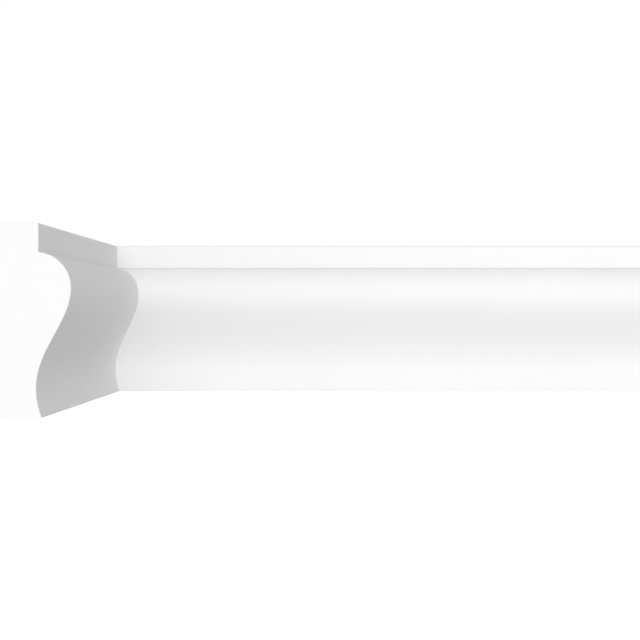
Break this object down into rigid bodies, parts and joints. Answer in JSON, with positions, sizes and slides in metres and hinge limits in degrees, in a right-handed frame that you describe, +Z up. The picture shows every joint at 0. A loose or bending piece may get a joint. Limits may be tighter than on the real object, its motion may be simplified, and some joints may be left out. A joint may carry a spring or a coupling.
{
  "type": "wall moulding",
  "caption": "White ogee wall moulding with a flat fillet above a rounded nose, taken round an inside corner: a long run and a short return meet in a mitre and trim a wall.",
  "frame": {"origin": "where the corner of the two walls meets the level of the moulding's foot", "axes": "+X along the run away from the corner, +Y into the wall behind the run, +Z up; the return goes along -Y"},
  "size_m": [2, 0.2, 0.06],
  "materials": {
    "primed_white_foam": "matt white primer on hard white foam, sawn ends bare"
  },
  "bodies": {
    "root": {"run_length": "primed_white_foam", "return_length": "primed_white_foam"}
  },
  "joints": []
}
